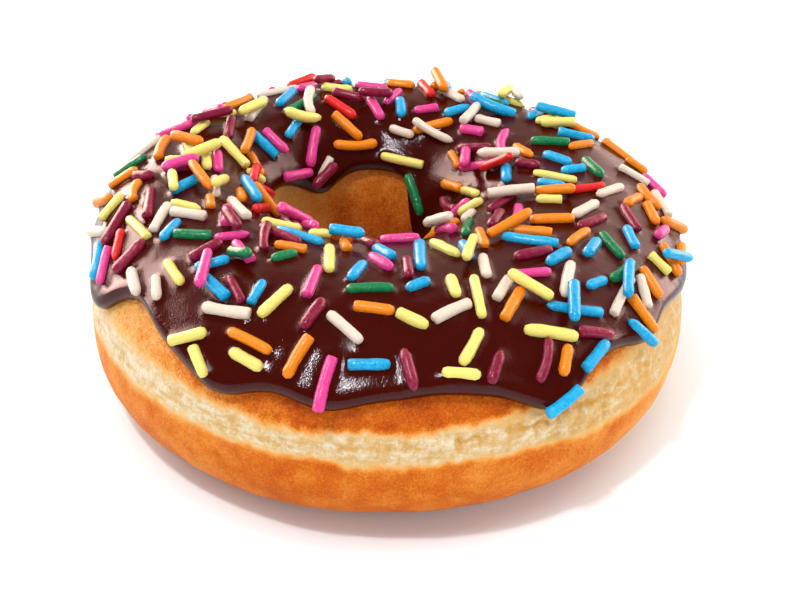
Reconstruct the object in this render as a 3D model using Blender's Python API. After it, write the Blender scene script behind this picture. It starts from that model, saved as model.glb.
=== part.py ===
"""A frosted ring doughnut: a puffed ring of fried dough under a shell of chocolate icing.

Both pieces start as a torus and are drawn out to shape by one rule, the ring's own surface.
A point of that surface has an azimuth round the ring, from +X towards +Y, and a turn round
its section: 0 degrees is the outer edge, 90 the crown, 180 the wall of the hole and 270 the
underside. The dough was cut off centre, so the hole sits towards the back and the left, and
the ring is thickest at the front and on the right. +Z is up, and the ring rests on z = 0.
"""

import math

import bpy

# The dough ring, in metres and degrees.
RING_RADIUS = 0.0450
HOLE_RADIUS = 0.0139
HOLE_CENTRE = (-0.0047, 0.0084)
EQUATOR_HEIGHT = 0.0123
CROWN_RISE = 0.0168
CROWN_LEAN = 0.0015
CROWN_LEAN_AZIMUTH = 204.0
OVAL_SWELL = 0.0004
OVAL_AZIMUTH = 30.0
THREE_SIDED_SWELL = 0.0003
THREE_SIDED_AZIMUTH = 60.0
FOOT_PRESS = 0.0006

# How full the section is: 1 is an ellipse, and less is squarer.
SIDE_FULLNESS = 0.80
HEIGHT_FULLNESS = 0.92

# The icing: its thickness, the room under it, and the turn at which its two edges lie.
ICING_THICKNESS = 0.0018
ICING_GAP = 0.0005
ICING_BEAD = 4.0
OUTER_EDGE = 37.0
INNER_EDGE = 146.0

# Runs of icing past its edges: azimuth, half width and reach in degrees, back where negative.
OUTER_RUNS = (
    (-158, 6, 11),
    (-144, 8, -10),
    (-121, 8, 9),
    (-101, 7, 6),
    (-81, 6, -2),
    (-60, 8, 14),
    (-35, 6, 7),
    (-12, 12, 10),
    (20, 10, -3),
    (44, 12, 12),
    (100, 13, 13),
    (130, 9, 4),
    (150, 8, 5),
    (172, 12, -4),
)
INNER_RUNS = (
    (119, 17, 13),
    (36, 17, 38),
    (5, 20, 26),
    (-45, 14, 10),
    (-95, 12, 4),
    (-130, 15, 12),
)

# How finely each piece is cut into flats.
AZIMUTH_STEPS = 84
SECTION_STEPS = 28
EDGE_SHARE = 2 / 14

COLLECTION_NAME = "frosted_doughnut"
DOUGH_COLOUR = (0.70, 0.34, 0.10, 1.0)
ICING_COLOUR = (0.045, 0.012, 0.009, 1.0)


def clear_scene():
    """Remove every object that the scene holds."""
    for item in list(bpy.data.objects):
        bpy.data.objects.remove(item, do_unlink=True)


def new_collection(name):
    """Make a collection under the scene's own, and return it."""
    collection = bpy.data.collections.new(name)
    bpy.context.scene.collection.children.link(collection)
    return collection


def new_material(name, colour, roughness):
    """A plain shiny or dull surface of one colour."""
    material = bpy.data.materials.new(name)
    material.use_nodes = True
    material.diffuse_color = colour
    shader = material.node_tree.nodes["Principled BSDF"]
    shader.inputs["Base Color"].default_value = colour
    shader.inputs["Roughness"].default_value = roughness
    shader.inputs["Metallic"].default_value = 0.0
    return material


def signed_power(value, exponent):
    """Raise a number's size to a power and keep its sign."""
    return math.copysign(abs(value) ** exponent, value)


def edge_turn(azimuth, level, runs, direction):
    """The turn of one icing edge: its own level plus a bell-shaped run at each listed place."""
    turn = level
    for place, half_width, reach in runs:
        apart = (math.degrees(azimuth) - place + 180.0) % 360.0 - 180.0
        turn += direction * reach * math.exp(-((apart / half_width) ** 2))
    return math.radians(turn)


def ring_point(azimuth, turn, lift):
    """A point of the ring's surface, or of one that lies outside it by the given lift.

    The section lies between a point of the outer edge and the point of the hole's wall at
    the same azimuth about the hole's own centre. It is half as wide as they are apart, taller
    above the equator than below it, and cut flat at its foot.
    """
    radius = RING_RADIUS
    radius += OVAL_SWELL * math.cos(2 * (azimuth - math.radians(OVAL_AZIMUTH)))
    radius += THREE_SIDED_SWELL * math.cos(3 * (azimuth - math.radians(THREE_SIDED_AZIMUTH)))
    outer = (radius * math.cos(azimuth), radius * math.sin(azimuth))
    wall = (
        HOLE_CENTRE[0] + HOLE_RADIUS * math.cos(azimuth),
        HOLE_CENTRE[1] + HOLE_RADIUS * math.sin(azimuth),
    )
    half_width = math.dist(outer, wall) / 2

    across = math.cos(turn)
    along = signed_power(across, SIDE_FULLNESS) * (1 + lift / half_width)
    x = (outer[0] + wall[0]) / 2 + (outer[0] - wall[0]) / 2 * along
    y = (outer[1] + wall[1]) / 2 + (outer[1] - wall[1]) / 2 * along

    lean = CROWN_LEAN * math.cos(azimuth - math.radians(CROWN_LEAN_AZIMUTH))
    height = CROWN_RISE + lean if turn % math.tau < math.pi else EQUATOR_HEIGHT + FOOT_PRESS
    z = EQUATOR_HEIGHT + (height + lift) * signed_power(math.sin(turn), HEIGHT_FULLNESS)
    return (x, y, max(z, 0.0))


def dough_point(azimuth, turn):
    """The dough's surface is the ring's own."""
    return ring_point(azimuth, turn, 0.0)


def icing_point(azimuth, turn):
    """The icing's section is a long flat loop that runs from one edge over to the other.

    Half a turn goes along its outside and half along its underside. A rounded end takes the
    first and the last share of each half, and the rest goes evenly over the crown.
    """
    first = edge_turn(azimuth, OUTER_EDGE, OUTER_RUNS, -1)
    last = edge_turn(azimuth, INNER_EDGE, INNER_RUNS, 1)
    bead = math.radians(ICING_BEAD)
    side = 1 if turn >= 0 else -1
    share = abs(turn) / math.pi
    near_end = min(share, 1 - share)

    if near_end < EDGE_SHARE:
        bend = near_end / EDGE_SHARE * math.pi / 2
        inset = bead * (1 - math.cos(bend))
        depth = math.sin(bend)
    else:
        straight = (near_end - EDGE_SHARE) / (0.5 - EDGE_SHARE)
        inset = bead + straight * ((last - first) / 2 - bead)
        depth = 1.0

    place = first + inset if share <= 0.5 else last - inset
    lift = ICING_GAP + ICING_THICKNESS * (1 + side * depth) / 2
    return ring_point(azimuth, place, lift)


def make_piece(name, collection, material, surface_point):
    """Draw a torus out to the given surface and give it its material."""
    middle = RING_RADIUS / 2
    bpy.ops.mesh.primitive_torus_add(
        major_segments=AZIMUTH_STEPS,
        minor_segments=SECTION_STEPS,
        major_radius=middle,
        minor_radius=middle / 2,
        location=(0, 0, 0),
    )
    piece = bpy.context.object
    piece.name = name
    piece.data.name = name
    for vertex in piece.data.vertices:
        azimuth = math.atan2(vertex.co.y, vertex.co.x)
        from_middle = math.hypot(vertex.co.x, vertex.co.y) - middle
        turn = math.atan2(vertex.co.z, from_middle)
        vertex.co = surface_point(azimuth, turn)
    piece.data.shade_smooth()
    piece.data.materials.append(material)
    for holder in list(piece.users_collection):
        holder.objects.unlink(piece)
    collection.objects.link(piece)
    return piece


def main():
    clear_scene()
    collection = new_collection(COLLECTION_NAME)
    crust = new_material("fried_crust", DOUGH_COLOUR, 0.7)
    chocolate = new_material("chocolate_gloss", ICING_COLOUR, 0.25)
    make_piece("dough_ring", collection, crust, dough_point)
    make_piece("chocolate_icing", collection, chocolate, icing_point)


if __name__ == "__main__":
    main()
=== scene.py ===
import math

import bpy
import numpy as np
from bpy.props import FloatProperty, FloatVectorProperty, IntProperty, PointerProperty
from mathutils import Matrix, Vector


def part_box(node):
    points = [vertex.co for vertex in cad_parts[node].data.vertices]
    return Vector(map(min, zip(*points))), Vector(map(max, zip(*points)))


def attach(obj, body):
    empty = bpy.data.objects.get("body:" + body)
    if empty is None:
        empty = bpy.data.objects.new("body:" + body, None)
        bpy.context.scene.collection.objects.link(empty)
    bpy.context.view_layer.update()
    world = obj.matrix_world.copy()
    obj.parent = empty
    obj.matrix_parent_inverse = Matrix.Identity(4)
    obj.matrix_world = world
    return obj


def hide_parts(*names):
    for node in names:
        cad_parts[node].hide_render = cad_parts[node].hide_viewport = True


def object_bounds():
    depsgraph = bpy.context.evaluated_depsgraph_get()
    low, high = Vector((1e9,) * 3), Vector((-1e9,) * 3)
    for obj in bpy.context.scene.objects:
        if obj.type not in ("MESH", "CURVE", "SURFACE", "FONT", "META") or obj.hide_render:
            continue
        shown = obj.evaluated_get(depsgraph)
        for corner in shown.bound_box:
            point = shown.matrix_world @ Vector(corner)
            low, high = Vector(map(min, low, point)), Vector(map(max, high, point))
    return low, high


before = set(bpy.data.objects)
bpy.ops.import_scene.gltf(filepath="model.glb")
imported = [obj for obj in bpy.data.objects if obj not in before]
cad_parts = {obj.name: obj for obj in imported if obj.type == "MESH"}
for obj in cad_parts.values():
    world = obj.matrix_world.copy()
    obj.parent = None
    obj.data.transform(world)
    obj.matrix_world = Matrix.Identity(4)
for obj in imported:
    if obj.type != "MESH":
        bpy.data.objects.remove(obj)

# The looks of a frosted ring doughnut: fried crust, a pale crumb band, chocolate icing and sugar strands.
#
# The file is laid out as an add-on and run as a script. Every surface is worked out with numpy from the
# ring's own rule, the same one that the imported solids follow: a place on it is an azimuth round the ring,
# from +X towards +Y, and a turn round its section, where 0 degrees is the outer edge, 90 the crown, 180 the
# wall of the hole and 270 the underside. Lengths are in metres, and +Z is up.

bl_info = {
    "name": "Frosted Doughnut",
    "version": (1, 0, 0),
    "blender": (4, 5, 0),
    "location": "View3D > Sidebar > Doughnut",
    "description": "Fried ring with a crumb band, chocolate icing and sugar strands",
    "category": "Add Mesh",
}

CAD_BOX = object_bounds()
MM = 0.001
# The least length that anything is divided by.
HAIR = 1e-12

# The ring's rule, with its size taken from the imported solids.
DOUGH_LOW, DOUGH_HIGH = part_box("dough_ring")
ICING_LOW, ICING_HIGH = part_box("chocolate_icing")
SWELL_SHARE = 0.15 * MM
RING_RADIUS = (DOUGH_HIGH.x - DOUGH_LOW.x + DOUGH_HIGH.y - DOUGH_LOW.y) / 4 - SWELL_SHARE
EQUATOR_HEIGHT = 12.3 * MM
CROWN_LEAN = 1.5 * MM
CROWN_LEAN_AZIMUTH = math.radians(204)
CROWN_RISE = DOUGH_HIGH.z - EQUATOR_HEIGHT - CROWN_LEAN
ICING_TOP = ICING_HIGH.z - DOUGH_HIGH.z
HOLE_RADIUS = 13.9 * MM
HOLE_CENTRE = (-4.7 * MM, 8.4 * MM)
OVAL_SWELL = 0.4 * MM
OVAL_AZIMUTH = math.radians(30)
THREE_SIDED_SWELL = 0.3 * MM
THREE_SIDED_AZIMUTH = math.radians(60)
FOOT_PRESS = 0.6 * MM
SIDE_FULLNESS = 0.80
HEIGHT_FULLNESS = 0.92

# Where the icing's two edges lie, in degrees of turn, and its runs: azimuth, half width and reach.
OUTER_EDGE = 37.0
INNER_EDGE = 146.0
OUTER_RUNS = (
    (-158, 6, 11), (-144, 8, -10), (-121, 8, 9), (-101, 7, 6), (-81, 6, -2), (-60, 8, 14), (-35, 6, 7),
    (-12, 12, 10), (20, 10, -3), (44, 12, 12), (100, 13, 13), (130, 9, 4), (150, 8, 5), (172, 12, -4),
)
INNER_RUNS = ((119, 17, 13), (36, 17, 38), (5, 20, 26), (-45, 14, 10), (-95, 12, 4), (-130, 15, 12))

# How much fuller the icing is near its edges than elsewhere, how far in, and over what spread.
LIP_SWELL = 0.22 * MM
LIP_PLACE = 1.6 * MM
LIP_SPREAD = 1.3 * MM
# The icing's slow swells. Every list of waves gives a depth, a size and a seed for each of its noises.
ICING_WAVES = ((0.20 * MM, 9 * MM, 31), (0.10 * MM, 4 * MM, 32))

# The crumb band: the pale line round the side that the frying fat doesn't reach.
BAND_LOW = 15.2 * MM
BAND_HIGH = 19.5 * MM
# Where its two edges lie higher or lower: azimuth, half width and rise of the lower and of the upper edge.
BAND_RUNS = (
    (-152, 26, 0.9 * MM, 1.3 * MM),
    (-108, 12, 0.6 * MM, -0.3 * MM),
    (-34, 22, -1.8 * MM, 1.2 * MM),
    (35, 30, 0.3 * MM, -0.8 * MM),
    (95, 30, -0.5 * MM, 0.3 * MM),
)
# Where the crumb is torn into upright ridges, with a crack along its middle: azimuth, half width, strength.
TORN_PLACES = ((-55, 26, 1.0), (-95, 18, 0.35), (38, 16, 0.6), (104, 20, 0.9), (160, 14, 0.5))
# How ragged the band's two edges are, in millimetres.
LOW_EDGE_WAVES = ((0.40, 13 * MM, 41), (0.35, 4.5 * MM, 42), (0.25, 1.5 * MM, 43))
HIGH_EDGE_WAVES = ((0.25, 15 * MM, 44), (0.25, 5 * MM, 45), (0.25, 1.4 * MM, 46))
# The size and seed of its upright ridges, its lumps and its pores, and in millimetres how deep each of them
# is, first everywhere and then besides where the crumb is torn.
BAND_NOISES = (((0.75 * MM, 0.75 * MM, 3 * MM), 51), ((1.5 * MM, 1.5 * MM, 1.1 * MM), 53), (0.55 * MM, 54))
BAND_DEPTHS = ((0.05, 0.15), (0.09, 0.10), (0.03, 0.03))
# The crack: how it wanders up and down, in millimetres; its height as a share of the band's, and what torn
# crumb adds; its width, with a noise; how much of it shows, with a noise and what torn crumb adds; and its
# depth, with what torn crumb adds.
CRACK_WAVES = ((0.50, 6 * MM, 56), (0.35, 2 * MM, 57), (0.2, 0.9 * MM, 58))
CRACK_HEIGHT = (0.50, 0.16)
CRACK_WIDTH = (0.40, ((0.18, 1.7 * MM, 59),))
CRACK_SHOWS = (0.35, ((1.3, 2 * MM, 60),), 0.35)
CRACK_DEPTH = (0.03, 0.30)
# How far in from its edges the roughness starts, how far down they turn in, and how thick the strip is.
BAND_SMOOTH_EDGE = (0.2, 1.2 * MM)
BAND_TURN_IN = 0.8 * MM
BAND_THICKNESS = 1.6 * MM
BAND_STANDS_OUT = 0.05 * MM
# How far the band reaches in under the crust, and how deep the crust's groove behind it is.
BAND_OVERLAP = 1.5 * MM
BAND_GROOVE = 1.0 * MM
GROOVE_SIDE = 0.7 * MM

# The crust's lumps, and the lip of crust above the band: how far above, over what spread and how high.
CRUST_WAVES = ((0.26, 13 * MM, 11), (0.11, 5 * MM, 12), (0.05, 2 * MM, 13))
CRUST_LIP_ABOVE = 1.6 * MM
CRUST_LIP_SPREAD = 1.8 * MM
CRUST_LIP_HEIGHT = 0.05
CRUST_LIP_PLACES = ((182, 30, 0.30),)

# Places round the ring, each an azimuth, a half width and a strength: where the upper crust stays light tan,
# partly its own tone and partly painted light on its brightly lit sides; where the crumb is palest, partly
# painted light on the lit left side, and most golden; and where the edges of the browning are softer, in
# millimetres.
TAN_AND_LIT_PLACES = ((190, 50, 1.0), (-14, 28, 0.75))
PALE_AND_LIT_PLACES = ((190, 45, 1.0), (-30, 28, -0.9))
SOFT_PLACES = ((195, 50, 1.5), (-18, 34, 1.2))
# Where the lower crust on the right is lighter: partly its own tone and partly a painted sheen.
RIGHT_LIT_PLACE = ((-18, 34, 1.0),)
# Where the hole's wall is painted lighter, on its left, which the lamps barely reach.
HOLE_LEFT_LIT_PLACE = ((150, 34, 1.0),)

# Browning runs from 0, crumb, to 1, dark brown: its level on the side below the band, in the hole and on the
# underside, and what is added in other places.
SIDE_TONE = 0.60
UPPER_TONE = 0.14
# Less browning on the tan sides, above and below the band: partly the crust's own tan and partly painted
# light where the lamps light the sides most.
UPPER_TAN_AND_LIT_TONE = -0.54
LOWER_TAN_AND_LIT_TONE = -0.16
# Less browning low on the right: partly the crust's own tone and partly a painted sheen from the lamp on
# that side.
LOWER_RIGHT_TONE_AND_SHEEN = -0.24
FOOT_TONE = 0.10
# Painted shade: extra browning just under the icing's edge, where its lip shades the crust.
UNDER_ICING_PAINTED_SHADE = 0.08
HOLE_TONE = 0.60
# Painted light: less browning on the hole's left wall.
HOLE_LEFT_PAINTED_LIGHT = -0.26
# Painted light: less browning at the top of the hole's wall, which the icing's lip shades.
HOLE_TOP_PAINTED_LIGHT = -0.10
UNDERSIDE_TONE = 0.80
TONE_WAVES = ((0.06, 11 * MM, 22), (0.05, 4 * MM, 23))
# The edge between crust and crumb: how soft, how ragged, and how far the two overlap.
EDGE_SOFTNESS = 1.8
UPPER_TAN_SOFTNESS = 0.8
EDGE_WAVES = ((0.40, 2.6 * MM, 24), (0.30, 1.1 * MM, 25))
EDGE_OVERLAP = 0.42
# How wrinkled the crust is above the band, there on the tan side, and in the hole.
UPPER_WRINKLES = 0.30
TAN_WRINKLES = 0.9
HOLE_WRINKLES = 0.5

# Turns at which the hole and the underside begin and end, each with its spread.
INTO_HOLE = np.radians((115, 25))
OUT_OF_HOLE = np.radians((245, -20))
UNDER_OUTSIDE = np.radians((-55, -15))
UNDER_INSIDE = np.radians((235, 15))
OFF_THE_SIDE = np.radians((80, -18))
# How close together the dough's rows lie at each turn: close on the sides that show, wide under the icing.
ROW_TURNS = (-90, -70, -55, 45, 60, 70, 105, 118, 130, 225, 245, 270)
ROW_WEIGHTS = (0.35, 0.6, 1.5, 1.5, 0.8, 0.25, 0.25, 0.8, 1.1, 1.1, 0.4, 0.35)

# How finely each piece is cut.
DOUGH_GRID = (192, 480)
BAND_GRID = (72, 1080)
ICING_GRID = (150, 580)
BAND_BACK_ROWS = 12
BEAD_ROWS, UNDER_ROWS = 13, 22
# The step, in radians, over which a surface's slope is measured for the band and for a strand.
SURFACE_STEP = 0.001
STRAND_STEP = 0.002


def srgb(red, green, blue):
    """A display colour, each part from 0 to 255, as linear light.

    A part v from 0 to 1 becomes ((v + 0.055) / 1.055) to the power of 2.4, or v / 12.92 where it is dark.
    """
    parts = np.array((red, green, blue)) / 255
    linear = np.where(parts <= 0.04045, parts / 12.92, ((parts + 0.055) / 1.055) ** 2.4)
    return tuple(float(part) for part in linear)


# ---- shapes worked out with numpy


def signed_power(value, exponent):
    """The size of each value raised to a power, with the value's own sign."""
    return np.copysign(np.abs(value) ** exponent, value)


def smooth_step(value):
    """0 below 0, 1 above 1 and 3 v v - 2 v v v between."""
    held = np.clip(value, 0.0, 1.0)
    return held * held * (3 - 2 * held)


def fade(value, start, width):
    """0 before a start and 1 from a width past it, by the smooth step; a width below 0 turns it round."""
    return smooth_step((value - start) / width)


def bell(value, middle, spread):
    """A bell curve: e to the power of minus the square of the distance over the spread."""
    return np.exp(-(((value - middle) / spread) ** 2))


def bell_round(azimuth, place, spread):
    """A bell curve round the ring, of an azimuth in radians about a place in degrees."""
    apart = (np.degrees(azimuth) - place + 180.0) % 360.0 - 180.0
    return np.exp(-((apart / spread) ** 2))


def hills(azimuth, places):
    """The sum of bell curves round the ring, each given as a place, a half width and a strength."""
    return sum(strength * bell_round(azimuth, place, half_width) for place, half_width, strength in places)


def unit(vectors):
    """Vectors made 1 long, each divided by its own length."""
    return vectors / np.maximum(np.linalg.norm(vectors, axis=-1, keepdims=True), HAIR)


def ring_surface(azimuth, turn, lift):
    """Points of the ring's surface, or of one that lies a lift outside it.

    The outer point is at radius R + a cos 2(azimuth - p) + b cos 3(azimuth - q) about the origin, and the
    wall point at the hole's radius about the hole's own centre. Between the two, the section goes out from
    the middle by half their distance times cos(turn) ** 0.80, and up from the equator by its height times
    sin(turn) ** 0.92, taller above the equator than below it and cut flat at its foot.
    """
    azimuth, turn, lift = np.broadcast_arrays(azimuth, turn, lift)
    radius = RING_RADIUS + OVAL_SWELL * np.cos(2 * (azimuth - OVAL_AZIMUTH))
    radius = radius + THREE_SIDED_SWELL * np.cos(3 * (azimuth - THREE_SIDED_AZIMUTH))
    way = np.stack((np.cos(azimuth), np.sin(azimuth)), axis=-1)
    outer = radius[..., None] * way
    wall = np.array(HOLE_CENTRE) + HOLE_RADIUS * way
    half_width = np.linalg.norm(outer - wall, axis=-1) / 2

    along = signed_power(np.cos(turn), SIDE_FULLNESS) * (1 + lift / half_width)
    across = (outer + wall) / 2 + (outer - wall) / 2 * along[..., None]
    sine = np.sin(turn)
    lean = CROWN_LEAN * np.cos(azimuth - CROWN_LEAN_AZIMUTH)
    height = np.where(sine > 0, CROWN_RISE + lean, EQUATOR_HEIGHT + FOOT_PRESS)
    z = EQUATOR_HEIGHT + (height + lift) * signed_power(sine, HEIGHT_FULLNESS)
    return np.concatenate((across, np.maximum(z, 0.0)[..., None]), axis=-1)


# The length of a typical section up to each turn, by which rows are spread evenly.
TURN_TABLE = np.radians(np.linspace(-90.0, 270.0, 2881))
SECTION_STEPS = np.diff(ring_surface(math.radians(-90), TURN_TABLE, 0.0), axis=0)
ARC_TABLE = np.concatenate(((0.0,), np.cumsum(np.linalg.norm(SECTION_STEPS, axis=1))))


def arc_at(turn):
    """How far along a typical section a turn lies."""
    return np.interp(turn, TURN_TABLE, ARC_TABLE)


def turn_at(arc):
    """The turn that lies so far along a typical section."""
    return np.interp(arc, ARC_TABLE, TURN_TABLE)


def turn_at_height(azimuth, height):
    """The turn on the outer side, above the equator, at which the ring's surface has a height."""
    rise = CROWN_RISE + CROWN_LEAN * np.cos(azimuth - CROWN_LEAN_AZIMUTH)
    share = np.clip((height - EQUATOR_HEIGHT) / rise, 0.0, 1.0)
    return np.arcsin(share ** (1 / HEIGHT_FULLNESS))


def lattice_numbers(cells, seed):
    """A repeatable number from -1 to 1 for each cell of whole-number corners, by mixing their bits."""
    parts = cells.reshape(-1, 3).astype(np.int64).astype(np.uint32)
    mixed = parts[..., 0] * np.uint32(374761393) + parts[..., 1] * np.uint32(668265263)
    mixed = mixed + parts[..., 2] * np.uint32(2246822519) + np.uint32(seed * 97 + 1013)
    mixed = (mixed ^ (mixed >> np.uint32(13))) * np.uint32(1274126177)
    mixed = (mixed ^ (mixed >> np.uint32(16))) * np.uint32(2654435761)
    mixed = mixed ^ (mixed >> np.uint32(15))
    return (mixed / 2147483647.5 - 1.0).reshape(cells.shape[:-1])


def noise(points, size, seed):
    """Smooth noise from -1 to 1: numbers at lattice corners a size apart, blended by the smooth step."""
    scaled = points / np.asarray(size)
    corner = np.floor(scaled)
    blend = smooth_step(scaled - corner)
    total = np.zeros(points.shape[:-1])
    for x in (0, 1):
        for y in (0, 1):
            for z in (0, 1):
                weight = np.where(np.array((x, y, z)) == 1, blend, 1 - blend).prod(axis=-1)
                total += weight * lattice_numbers(corner + (x, y, z), seed)
    return total


def waves(points, layers):
    """The sum of several noises, each given as a depth, a size and a seed."""
    return sum(depth * noise(points, size, seed) for depth, size, seed in layers)


def grid_normals(points):
    """Outward normals of a grid closed both ways: the step round the ring crossed with the step upwards."""
    around, upward = (np.roll(points, -1, axis=axis) - np.roll(points, 1, axis=axis) for axis in (1, 0))
    return unit(np.cross(around, upward))


def ring_azimuths(columns):
    """Azimuths spread evenly round the whole ring."""
    return np.linspace(-math.pi, math.pi, columns, endpoint=False)


def icing_edges(azimuth):
    """The turns of the icing's outer and inner edges: the level of each, moved by its bell-shaped runs."""
    first = OUTER_EDGE - hills(azimuth, OUTER_RUNS)
    last = INNER_EDGE + hills(azimuth, INNER_RUNS)
    return np.radians(first), np.radians(last)


def icing_outside(azimuth, turn):
    """The icing's outside: the ring's surface lifted by the icing's depth, a slow swell and a fuller lip."""
    points = ring_surface(azimuth, turn, ICING_TOP)
    first, last = icing_edges(azimuth)
    arc = arc_at(turn)
    from_edge = np.minimum(arc - arc_at(first), arc_at(last) - arc)
    swell = waves(points, ICING_WAVES) + LIP_SWELL * bell(from_edge, LIP_PLACE, LIP_SPREAD) - LIP_SWELL / 2
    return ring_surface(azimuth, turn, ICING_TOP + swell)


# ---- meshes


def mesh_object(name, vertices, faces, attributes):
    """A smooth mesh object from its points and faces, with a number on each point for each attribute."""
    mesh = bpy.data.meshes.new(name)
    mesh.from_pydata(vertices, [], faces)
    for title, values in attributes.items():
        attribute = mesh.attributes.new(title, "FLOAT", "POINT")
        attribute.data.foreach_set("value", np.ascontiguousarray(values, dtype=np.float32).ravel())
    mesh.shade_smooth()
    mesh.update()
    piece = bpy.data.objects.new(name, mesh)
    bpy.context.scene.collection.objects.link(piece)
    return piece


def closed_grid_object(name, points, attributes):
    """A piece from a grid of points closed both ways: its last row and column join its first."""
    index = np.arange(points.shape[0] * points.shape[1]).reshape(points.shape[:2])
    right, above = np.roll(index, -1, axis=1), np.roll(index, -1, axis=0)
    faces = np.stack((index, right, np.roll(right, -1, axis=0), above), axis=-1)
    return mesh_object(name, points.reshape(-1, 3), faces.reshape(-1, 4), attributes)


# ---- materials


def fill(tree, node, inputs):
    """Fill a node's inputs: a socket is linked and a plain value is set."""
    for title, value in inputs.items():
        if isinstance(value, bpy.types.NodeSocket):
            tree.links.new(value, node.inputs[title])
        else:
            node.inputs[title].default_value = value


def add_node(tree, kind, inputs=None, **settings):
    """Add a node, set what it is and fill its inputs."""
    node = tree.nodes.new(kind)
    for title, value in settings.items():
        setattr(node, title, value)
    fill(tree, node, inputs or {})
    return node


def opaque(colour):
    """A linear colour with its cover, 1, as a fourth part; a socket stays as it is."""
    return colour if isinstance(colour, bpy.types.NodeSocket) else (*colour, 1.0)


def new_material(name):
    """An empty node material, with its tree, its principled shader and its object coordinates."""
    material = bpy.data.materials.new(name)
    material.use_nodes = True
    tree = material.node_tree
    tree.nodes.clear()
    shader = add_node(tree, "ShaderNodeBsdfPrincipled")
    add_node(tree, "ShaderNodeOutputMaterial", {"Surface": shader.outputs["BSDF"]})
    return material, tree, shader, add_node(tree, "ShaderNodeTexCoord").outputs["Object"]


def shader_noise(tree, place, size, detail=2.0, roughness=0.5, distortion=0.0):
    """Noise from 0 to 1 whose blots are about a size across."""
    inputs = {"Vector": place, "Scale": 1 / size, "Detail": detail, "Roughness": roughness}
    inputs["Distortion"] = distortion
    return add_node(tree, "ShaderNodeTexNoise", inputs).outputs["Fac"]


def stretched(tree, place, upward):
    """Coordinates with their height scaled: more than 1 draws noise out level, less draws it upright."""
    inputs = {0: place, 1: (1.0, 1.0, upward)}
    return add_node(tree, "ShaderNodeVectorMath", inputs, operation="MULTIPLY").outputs[0]


def attribute(tree, title):
    """The number that a piece's points carry under a title."""
    return add_node(tree, "ShaderNodeAttribute", attribute_name=title).outputs["Fac"]


def calculate(tree, operation, *numbers):
    """One sum of two or three numbers or sockets."""
    return add_node(tree, "ShaderNodeMath", dict(enumerate(numbers)), operation=operation).outputs[0]


def add_share(tree, source, share, base):
    """A base number with a share of another one added."""
    return calculate(tree, "MULTIPLY_ADD", source, share, base)


def add_swing(tree, source, share, base):
    """A base number with a share of how far a noise stands from its middle, a half, added."""
    return add_share(tree, calculate(tree, "SUBTRACT", source, 0.5), share, base)


def held(tree, value):
    """A number kept between 0 and 1."""
    return add_node(tree, "ShaderNodeClamp", {"Value": value}).outputs[0]


def ramp(tree, factor, stops):
    """A colour that runs through the given stops, each a place from 0 to 1 and a linear colour."""
    node = add_node(tree, "ShaderNodeValToRGB", {"Fac": factor})
    elements = node.color_ramp.elements
    while len(elements) < len(stops):
        elements.new(0.5)
    for element, (position, colour) in zip(elements, stops):
        element.position = position
        element.color = opaque(colour)
    return node.outputs["Color"]


def mix_colours(tree, factor, first, second):
    """Two colours mixed by a factor; each is a socket or a linear colour."""
    inputs = {0: factor, 6: opaque(first), 7: opaque(second)}
    return add_node(tree, "ShaderNodeMix", inputs, data_type="RGBA").outputs[2]


def bump(tree, height, depth, strength, normal=None):
    """A bump of a depth in metres from a height from 0 to 1, on top of another bump where one is given."""
    inputs = {"Height": height, "Distance": depth, "Strength": strength}
    if normal is not None:
        inputs["Normal"] = normal
    return add_node(tree, "ShaderNodeBump", inputs).outputs["Normal"]


def finish_piece(piece, material, replaced=()):
    """Give a piece its material, its body and the solids that it stands for."""
    piece.data.materials.append(material)
    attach(piece, "root")
    if replaced:
        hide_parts(*replaced)


# ---- dough


def band_edges(azimuth):
    """The heights of the band's lower and upper edges round the ring.

    Each is a level, plus waves on a circle, plus a bell-shaped rise at each listed place.
    """
    circle = np.stack((np.cos(azimuth), np.sin(azimuth), np.zeros_like(azimuth)), axis=-1) * RING_RADIUS
    low = BAND_LOW + MM * waves(circle, LOW_EDGE_WAVES)
    high = BAND_HIGH + MM * waves(circle, HIGH_EDGE_WAVES)
    for place, half_width, low_rise, high_rise in BAND_RUNS:
        low = low + low_rise * bell_round(azimuth, place, half_width)
        high = high + high_rise * bell_round(azimuth, place, half_width)
    return low, high


def torn_strength(azimuth):
    """How torn the band is round the ring, from 0 to 1."""
    return np.clip(hills(azimuth, TORN_PLACES), 0, 1)


def outside_band(base, azimuth):
    """How far each point lies outside the band's nearer edge, in metres; less than 0 inside it."""
    low, high = band_edges(azimuth)
    return np.maximum(base[..., 2] - high, low - base[..., 2])


def tan_and_lit_side(azimuth):
    """1 where the upper crust stays light tan, on the left and a little on the right, and 0 at the front;
    the tan is partly painted light.
    """
    return np.clip(hills(azimuth, TAN_AND_LIT_PLACES), 0, 1)


def outer_side(turn):
    """1 on the outer side of the ring and 0 from its crown inwards."""
    return fade(np.abs(turn), *OFF_THE_SIDE)


def crust_relief(base, azimuth, turn):
    """How far the crust stands out from the ring's own surface: slow lumps, and a lip above the band."""
    above = base[..., 2] - band_edges(azimuth)[1]
    lip = bell(above, CRUST_LIP_ABOVE, CRUST_LIP_SPREAD) * outer_side(turn)
    lip = lip * (CRUST_LIP_HEIGHT + hills(azimuth, CRUST_LIP_PLACES))
    return MM * (waves(base, CRUST_WAVES) + lip)


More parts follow.
